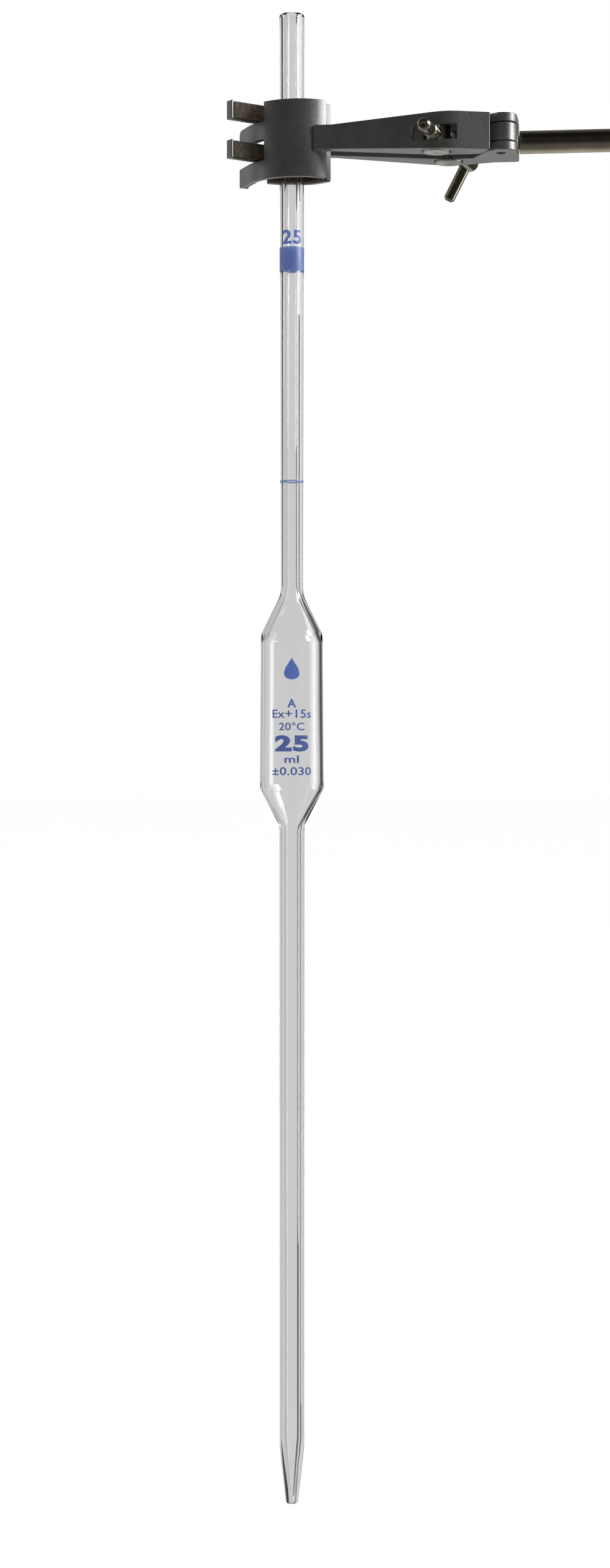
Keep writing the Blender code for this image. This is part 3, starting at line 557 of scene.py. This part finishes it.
def drilled_barrel(node, name, body, bore_radius, seat_radius):
    low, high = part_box(node)
    centre = (low + high) / 2.0
    radius = (high.x - low.x) / 2.0 / mm
    half = (high.z - low.z) / 2.0 / mm
    chamfer = 0.5
    centre_depth, centre_radius = 0.5, 0.55
    seat_offset, reach = 4.2, 12.0
    outline = [(0.0, -half + centre_depth), (centre_radius, -half)]
    outline += [(radius - chamfer, -half), (radius, -half + chamfer)]
    outline = rounded_run(outline + [(r, -z) for r, z in reversed(outline)], 0.12)
    barrel = turned(name, outline, barrel_steel, centre, (0, 0, 1), 96)
    at = Vector((centre.x, centre.y, bush_centre.z))
    bore = [(0.0, -reach), (bore_radius, -reach), (bore_radius, reach), (0.0, reach)]
    tools = [cutter("cross_drill", bore, at, screw_axis)]
    for side in (1.0, -1.0):
        seat = [(0.0, seat_offset), (seat_radius, seat_offset), (seat_radius, 9.0), (0.0, 9.0)]
        tools.append(cutter("spot_face", seat, at, screw_axis * side))
    cut(barrel, *tools)
    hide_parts(node)
    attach(barrel, body)


barrel_steel = make_steel("turned_steel", (0, 0, 1), (0.46, 0.445, 0.40), 0.34, False)
drilled_barrel("swivel_bush", "swivel_bush_barrel", "bush", bore_radius=2.3, seat_radius=3.9)
drilled_barrel("swivel_nut", "swivel_nut_barrel", "nut", bore_radius=2.8, seat_radius=3.1)

# The clamp screw is turned from one bar: a plain point, an M5 thread through the nut, a thin journal in the
# bush, and a thick shank that carries the tommy bar. The thread is rolled, with rounded crests.
nut_low, nut_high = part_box("swivel_nut")
nut_reach = ((nut_low + nut_high) / 2.0 - bush_centre).dot(screw_axis) / mm
thread_radius, journal_radius, shank_radius = 2.5, 2.0, 3.3
thread_pitch, thread_depth = 0.8, 0.42
tip_past_nut, bar_past_nut, shank_past_bar = 18.9, 44.6, 3.9
plain_tip_length, thread_relief = 9.0, 1.2
journal_start, shoulder = -5.1, 5.4
tip = nut_reach - tip_past_nut
bar_reach = nut_reach + bar_past_nut
shank_end = bar_reach + shank_past_bar
thread_start = tip + plain_tip_length
thread_end = journal_start - thread_relief
rings_per_turn = 10
thread_rings = int((thread_end - thread_start) / thread_pitch * rings_per_turn)
point_radius, relief_radius, shank_chamfer = 2.3, 2.05, 1.1
point = [(0.0, tip + 1.0), (0.75, tip), (1.5, tip), (point_radius, tip + 0.8)]
point.append((point_radius, thread_start - 0.3))
screw_outline = rounded_run(point, 0.15)
for step in range(thread_rings + 1):
    screw_outline.append((thread_radius, thread_start + (thread_end - thread_start) * step / thread_rings))
shank = [(relief_radius, thread_end + 0.3), (relief_radius, journal_start)]
shank += [(journal_radius, journal_start), (journal_radius, shoulder), (shank_radius, shoulder)]
shank += [(shank_radius, shank_end - shank_chamfer), (shank_radius - shank_chamfer, shank_end)]
shank.append((0.0, shank_end))
screw_outline += rounded_run(shank, 0.15)


def make_thread_tree():
    """Cuts a right-hand thread into a turned bar: each point sinks by its place between two turns."""
    tree = bpy.data.node_groups.new("screw_thread", "GeometryNodeTree")
    tree.interface.new_socket("Bar", in_out="INPUT", socket_type="NodeSocketGeometry")
    for label in ("Radius", "Pitch", "Depth", "Start", "End"):
        tree.interface.new_socket(label, in_out="INPUT", socket_type="NodeSocketFloat")
    tree.interface.new_socket("Threaded", in_out="OUTPUT", socket_type="NodeSocketGeometry")
    given = add_node(tree, "NodeGroupInput").outputs
    here = add_node(tree, "GeometryNodeInputPosition").outputs[0]
    point = add_node(tree, "ShaderNodeSeparateXYZ", {0: here}).outputs
    turn = sum_node(tree, "DIVIDE", sum_node(tree, "ARCTAN2", point["Y"], point["X"]), math.tau)
    climb = sum_node(tree, "DIVIDE", point["Z"], given["Pitch"])
    phase = sum_node(tree, "FRACT", sum_node(tree, "ADD", sum_node(tree, "SUBTRACT", climb, turn), 100.0))
    swing = sum_node(tree, "SUBTRACT", sum_node(tree, "MULTIPLY", phase, 2.0), 1.0)
    groove = sum_node(tree, "ABSOLUTE", swing)
    cut_depth = ramp_value(tree, groove, 0.12, 0.9, 1.0, 0.0)
    first_turn = sum_node(tree, "ADD", given["Start"], 0.8 * mm)
    run_in = ramp_value(tree, point["Z"], given["Start"], first_turn, 0.0, 1.0)
    last_turn = sum_node(tree, "SUBTRACT", given["End"], 0.8 * mm)
    run_out = ramp_value(tree, point["Z"], last_turn, given["End"], 1.0, 0.0)
    sink = sum_node(tree, "MULTIPLY", sum_node(tree, "MULTIPLY", cut_depth, run_in), run_out)
    shrink = sum_node(tree, "DIVIDE", sum_node(tree, "MULTIPLY", sink, given["Depth"]), given["Radius"])
    keep = sum_node(tree, "SUBTRACT", 1.0, shrink)
    x, y = (sum_node(tree, "MULTIPLY", point[axis], keep) for axis in "XY")
    place = add_node(tree, "ShaderNodeCombineXYZ", {0: x, 1: y, 2: point["Z"]}).outputs[0]
    above = add_node(
        tree, "FunctionNodeCompare", {0: point["Z"], 1: given["Start"]}, operation="GREATER_EQUAL"
    )
    below = add_node(tree, "FunctionNodeCompare", {0: point["Z"], 1: given["End"]}, operation="LESS_EQUAL")
    within = add_node(
        tree, "FunctionNodeBooleanMath", {0: above.outputs[0], 1: below.outputs[0]}, operation="AND"
    )
    threaded = add_node(
        tree,
        "GeometryNodeSetPosition",
        {"Geometry": given["Bar"], "Selection": within.outputs[0], "Position": place},
    )
    whole = add_node(tree, "GeometryNodeRealizeInstances", {"Geometry": threaded.outputs[0]})
    add_node(tree, "NodeGroupOutput", {0: whole.outputs[0]})
    return tree


screw_steel = make_steel("screw_steel", screw_axis, warm_steel, 0.22, False)
clamp_screw = turned("clamp_screw_spindle", screw_outline, screw_steel, (0, 0, 0), (0, 0, 1), 72)
clamp_screw.data = grow(
    clamp_screw,
    make_thread_tree(),
    Radius=thread_radius * mm,
    Pitch=thread_pitch * mm,
    Depth=thread_depth * mm,
    Start=(thread_start - 0.01) * mm,
    End=(thread_end + 0.01) * mm,
)
screw_turn_in = screw_axis.to_track_quat("Z", "Y").to_matrix().to_4x4()
clamp_screw.data.transform(Matrix.Translation(bush_centre) @ screw_turn_in)
bar_centre = bush_centre + screw_axis * bar_reach * mm
bar_lean = math.radians(28.0)
bar_axis = Matrix.Rotation(bar_lean, 3, screw_axis) @ Vector((0.0, 0.0, 1.0))
bar_radius = 2.0
hole_radius, hole_reach = 2.1, 6.0
hole = [(0.0, -hole_reach), (hole_radius, -hole_reach), (hole_radius, hole_reach), (0.0, hole_reach)]
cut(clamp_screw, cutter("cross_hole", hole, bar_centre, bar_axis))
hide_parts("clamp_screw")
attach(clamp_screw, "screw")

# A thrust washer lies between the shank's shoulder and the bush, and a retaining ring holds the screw from
# the other side. Both are stamped from sheet, with rounded edges.
def ring_outline(inner, outer, low, high, round_off):
    outline = [(inner + round_off, low), (outer - round_off, low), (outer, low + round_off)]
    outline += [(outer, high - round_off), (outer - round_off, high), (inner + round_off, high)]
    return outline + [(inner, high - round_off), (inner, low + round_off)]


edge_round = 0.12
washer_outline = ring_outline(2.2, 3.4, 4.5, 5.1, edge_round)
clip_outline = ring_outline(2.1, 3.2, -5.1, -4.5, edge_round)
washer = turned("thrust_washer_disc", washer_outline, screw_steel, bush_centre, screw_axis, 64, True)
clip = turned("retaining_ring_clip", clip_outline, screw_steel, bush_centre, screw_axis, 64, True)
for piece, node in ((washer, "thrust_washer"), (clip, "retaining_ring")):
    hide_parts(node)
    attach(piece, "screw")

# The tommy bar is a plain steel pin pushed through the shank. Hands have polished its flanks and left the
# ends dull; both ends are chamfered.
bar_half, bar_chamfer = 15.7, 0.9
bar_corners = [(0.0, -bar_half), (bar_radius - bar_chamfer, -bar_half), (bar_radius, -bar_half + bar_chamfer)]
bar_outline = rounded_run(bar_corners + [(r, -z) for r, z in reversed(bar_corners)], 0.15)
bar_steel = make_steel("bar_steel", bar_axis, (0.27, 0.25, 0.19), 0.20, True)
tommy_bar = turned("tommy_bar_pin", bar_outline, bar_steel, bar_centre, bar_axis, 72)
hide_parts("tommy_bar")
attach(tommy_bar, "screw")

# The pipette is drawn from clear borosilicate tube, with the bulb fused in between two stems. The mouth and
# the jet are fire-polished, and the stems taper a little, as drawn tube does.
mouth_height = glass_high.z / mm
glass = bpy.data.materials.new("borosilicate_glass")
glass.use_nodes = True
glass_shader = glass.node_tree.nodes["Principled BSDF"]
glass_shader.inputs["Base Color"].default_value = (0.985, 0.992, 0.99, 1.0)
glass_shader.inputs["Transmission Weight"].default_value = 1.0
glass_shader.inputs["IOR"].default_value = 1.473
glass_place = add_node(glass.node_tree, "ShaderNodeTexCoord").outputs["Object"]
cord_stretch = {"Vector": glass_place, "Scale": (900.0, 900.0, 14.0)}
cord_lines = add_node(glass.node_tree, "ShaderNodeMapping", cord_stretch)
cords = add_node(
    glass.node_tree, "ShaderNodeTexNoise", {"Vector": cord_lines.outputs[0], "Scale": 1.0, "Detail": 2.0}
)
touch = add_node(glass.node_tree, "ShaderNodeTexNoise", {"Vector": glass_place, "Scale": 60.0, "Detail": 5.0})
smear = ramp_value(glass.node_tree, touch.outputs[0], 0.5, 0.75, 0.0, 0.05)
glass.node_tree.links.new(smear, glass_shader.inputs["Roughness"])
glass_bump = add_node(
    glass.node_tree, "ShaderNodeBump", {"Height": cords.outputs[0], "Strength": 0.04, "Distance": 0.00002}
)
glass.node_tree.links.new(glass_bump.outputs[0], glass_shader.inputs["Normal"])


mouth_radius, stem_narrowing, stem_length = 4.40, 0.48, 201.0


def tube_radius(depth):
    """The upper stem's outer radius, from the mouth to the bulb."""
    return mouth_radius - stem_narrowing * depth / stem_length


stem_rim = [(2.95, 0.0), (3.7, 0.0), (4.25, 0.12), (mouth_radius, 0.7)]
stem_run = [(tube_radius(depth), float(depth)) for depth in range(5, 196, 10)]
bulb_outside = [
    (tube_radius(200.0), 200.0),
    (4.05, 202.2),
    (4.48, 203.7),
    (5.05, 204.9),
    (10.55, 216.1),
    (10.8, 217.3),
    (10.82, 226.0),
    (10.95, 240.0),
    (11.08, 262.0),
    (11.15, 269.6),
    (11.0, 270.6),
    (4.55, 283.0),
]
lower_run = [(4.45, 285.0), (4.42, 300.0), (4.40, 400.0), (4.40, 498.0)]
jet_run = [(4.36, 500.2), (3.87, 505.3), (3.34, 509.6), (2.84, 513.8), (2.34, 518.0), (2.18, 519.3)]
jet_run += [(1.9, 519.85), (1.4, 520.0)]
outside = stem_rim + stem_run + rounded_run(bulb_outside, 1.0) + lower_run + jet_run
bore_rim = [(2.8, 0.0), (2.3, 0.35), (2.08, 1.2), (2.07, 6.0)]
bulb_inside = [
    (2.07, 199.0),
    (2.4, 202.6),
    (3.3, 205.2),
    (9.35, 217.3),
    (9.7, 219.0),
    (9.75, 240.0),
    (10.0, 262.0),
    (10.0, 268.5),
    (9.75, 270.2),
    (2.75, 283.6),
    (2.5, 285.5),
]
jet_bore = [(2.5, 497.0), (1.95, 503.0), (1.3, 510.0), (0.85, 515.0), (0.7, 517.0)]
jet_bore += [(0.7, 519.7), (0.95, 520.0)]
inside = bore_rim + rounded_run(bulb_inside, 1.2) + jet_bore
pipette_outline = [(r, mouth_height - depth) for r, depth in list(reversed(outside)) + inside]
pipette = turned("pipette_glass_body", pipette_outline, glass, pipette_axis, (0, 0, 1), 144, True)
pipette.data.set_sharp_from_angle(angle=math.radians(80.0))
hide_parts("pipette_glass")
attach(pipette, "pipette")

# The colour band and the ring mark are blue stain, fired on the upper stem. They lie on the glass like a
# thin skin with soft edges.
def make_stain(name, pale, deep):
    """A translucent blue: part of the light comes through it, the rest from its cloudy surface."""
    stain = bpy.data.materials.new(name)
    stain.use_nodes = True
    tree = stain.node_tree
    shader = tree.nodes["Principled BSDF"]
    shader.inputs["IOR"].default_value = 1.5
    shader.inputs["Transmission Weight"].default_value = 0.8
    place = add_node(tree, "ShaderNodeTexCoord").outputs["Object"]
    cloud = add_node(tree, "ShaderNodeTexNoise", {"Vector": place, "Scale": 900.0, "Detail": 4.0})
    tone = add_node(tree, "ShaderNodeValToRGB", {"Fac": cloud.outputs[0]})
    tone.color_ramp.elements[0].position = 0.3
    tone.color_ramp.elements[0].color = (*deep, 1.0)
    tone.color_ramp.elements[1].position = 0.72
    tone.color_ramp.elements[1].color = (*pale, 1.0)
    tree.links.new(tone.outputs[0], shader.inputs["Base Color"])
    matt = ramp_value(tree, cloud.outputs[0], 0.3, 0.7, 0.28, 0.42)
    tree.links.new(matt, shader.inputs["Roughness"])
    return stain


ring_stain = make_stain("blue_ring_stain", (0.34, 0.45, 0.82), (0.27, 0.38, 0.76))
print_stain = make_stain("blue_print_stain", (0.19, 0.29, 0.76), (0.13, 0.22, 0.66))
stain_lift, stain_thickness = 0.03, 0.05


def fired_ring(node, name):
    low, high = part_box(node)
    top, bottom = mouth_height - high.z / mm, mouth_height - low.z / mm
    edge_share, edge_run = 0.6, 0.1
    inner = [(tube_radius(depth) + stain_lift, mouth_height - depth) for depth in (top, bottom)]
    outer = [
        (tube_radius(bottom) + stain_lift + stain_thickness * edge_share, mouth_height - bottom),
        (tube_radius(bottom) + stain_lift + stain_thickness, mouth_height - bottom + edge_run),
        (tube_radius(top) + stain_lift + stain_thickness, mouth_height - top - edge_run),
        (tube_radius(top) + stain_lift + stain_thickness * edge_share, mouth_height - top),
    ]
    fired = turned(name, inner + outer, ring_stain, pipette_axis, (0, 0, 1), 128, True)
    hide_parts(node)
    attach(fired, "pipette")


fired_ring("colour_code_band", "colour_code_band_stain")
fired_ring("ring_mark", "ring_mark_stain")

# The marks on the glass are printed in the same blue: the volume over the colour band, and on the bulb the
# class, waiting time, temperature, volume and tolerance, under a plain drop where a maker would sign.
def make_wrap_tree():
    """Lays a flat print, drawn in XY, round a tube: X goes round it and Y up it."""
    tree = bpy.data.node_groups.new("wrap_print", "GeometryNodeTree")
    tree.interface.new_socket("Print", in_out="INPUT", socket_type="NodeSocketGeometry")
    for label in ("Radius", "Facing", "Height", "Axis X", "Axis Y"):
        tree.interface.new_socket(label, in_out="INPUT", socket_type="NodeSocketFloat")
    tree.interface.new_socket("Finish", in_out="INPUT", socket_type="NodeSocketMaterial")
    tree.interface.new_socket("Wrapped", in_out="OUTPUT", socket_type="NodeSocketGeometry")
    given = add_node(tree, "NodeGroupInput").outputs
    here = add_node(tree, "GeometryNodeInputPosition").outputs[0]
    point = add_node(tree, "ShaderNodeSeparateXYZ", {0: here}).outputs
    radius = sum_node(tree, "ADD", given["Radius"], point["Z"])
    angle = sum_node(tree, "ADD", sum_node(tree, "DIVIDE", point["X"], given["Radius"]), given["Facing"])
    across = sum_node(tree, "MULTIPLY", radius, sum_node(tree, "COSINE", angle))
    x = sum_node(tree, "ADD", across, given["Axis X"])
    deep = sum_node(tree, "MULTIPLY", radius, sum_node(tree, "SINE", angle))
    y = sum_node(tree, "ADD", deep, given["Axis Y"])
    z = sum_node(tree, "ADD", point["Y"], given["Height"])
    place = add_node(tree, "ShaderNodeCombineXYZ", {0: x, 1: y, 2: z}).outputs[0]
    bent = add_node(tree, "GeometryNodeSetPosition", {"Geometry": given["Print"], "Position": place})
    whole = add_node(tree, "GeometryNodeRealizeInstances", {"Geometry": bent.outputs[0]})
    painted = add_node(
        tree, "GeometryNodeSetMaterial", {"Geometry": whole.outputs[0], "Material": given["Finish"]}
    )
    add_node(tree, "NodeGroupOutput", {0: painted.outputs[0]})
    return tree


wrap_tree = make_wrap_tree()
to_camera = -look
print_facing = math.atan2(to_camera.y, to_camera.x)


ink_lift, ink_thickness, strip_width = 0.02, 0.04, 0.5


def print_mark(name, curve, tall, wide, depth, radius):
    """Prints a flat curve on the glass, sized in millimetres, its middle at a depth below the mouth."""
    flat = bpy.data.objects.new(name, curve)
    bpy.context.scene.collection.objects.link(flat)
    mesh = bpy.data.meshes.new_from_object(flat.evaluated_get(bpy.context.evaluated_depsgraph_get()))
    bpy.data.objects.remove(flat)
    xs = [v.co.x for v in mesh.vertices]
    ys = [v.co.y for v in mesh.vertices]
    middle = Vector(((min(xs) + max(xs)) / 2.0, (min(ys) + max(ys)) / 2.0, 0.0))
    size = Matrix.Diagonal((wide * mm / (max(xs) - min(xs)), tall * mm / (max(ys) - min(ys)), 1.0, 1.0))
    mesh.transform(size @ Matrix.Translation(-middle))
    zs = [v.co.z for v in mesh.vertices]
    shape = bmesh.new()
    shape.from_mesh(mesh)
    for vertex in shape.verts:
        vertex.co.z = 0.0 if vertex.co.z < (min(zs) + max(zs)) / 2.0 else ink_thickness * mm
    bmesh.ops.remove_doubles(shape, verts=shape.verts, dist=0.001 * mm)
    strips = int(wide / strip_width)
    for strip in range(1, strips):
        at = (strip / strips - 0.5) * wide * mm
        everything = shape.verts[:] + shape.edges[:] + shape.faces[:]
        bmesh.ops.bisect_plane(shape, geom=everything, plane_co=(at, 0, 0), plane_no=(1, 0, 0), dist=1e-7)
    shape.to_mesh(mesh)
    shape.free()
    mark = show(name, mesh)
    mark.data = grow(
        mark,
        wrap_tree,
        Radius=(radius + ink_lift) * mm,
        Facing=print_facing,
        Height=(mouth_height - depth) * mm,
        Finish=print_stain,
        **{"Axis X": pipette_axis.x, "Axis Y": pipette_axis.y},
    )
    mark.data.shade_flat()
    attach(mark, "pipette")


def lettering(text, bold=0.0):
    curve = bpy.data.curves.new(text, "FONT")
    curve.body = text
    curve.extrude = 0.01
    curve.offset = bold
    curve.space_character = 1.0 + 2.0 * bold
    curve.resolution_u = 4
    return curve


print_mark("volume_on_stem", lettering("25", 0.03), 5.0, 7.4, 78.2, tube_radius(78.2))
bulb_face = 10.9


def drop_emblem(points=24):
    """A plain filled drop: a round lower part that runs up to a point."""
    curve = bpy.data.curves.new("drop", "CURVE")
    curve.dimensions = "2D"
    curve.fill_mode = "BOTH"
    curve.extrude = 0.01
    spline = curve.splines.new("POLY")
    spline.points.add(points - 1)
    for i, point in enumerate(spline.points):
        turn = math.tau * i / points
        narrowing = math.sin(turn / 2.0) ** 1.6
        point.co = (math.sin(turn) * narrowing, math.cos(turn), 0.0, 1.0)
    spline.use_cyclic_u = True
    return curve


print_mark("maker_field_drop", drop_emblem(), 7.6, 5.4, 228.6, bulb_face)
bulb_marks = (
    # name, text, boldness, height, width, depth below the mouth
    ("class_mark", "A", 0.03, 3.0, 3.1, 240.6),
    ("waiting_time_mark", "Ex+15s", 0.012, 2.9, 14.2, 244.25),
    ("temperature_mark", "20°C", 0.012, 2.8, 9.0, 248.6),
    ("volume_mark", "25", 0.05, 5.7, 12.2, 254.5),
    ("unit_mark", "ml", 0.02, 2.6, 5.0, 259.95),
    ("tolerance_mark", "±0.030", 0.012, 2.8, 14.2, 264.1),
)
for name, text, bold, tall, wide, depth in bulb_marks:
    print_mark(name, lettering(text, bold), tall, wide, depth, bulb_face)
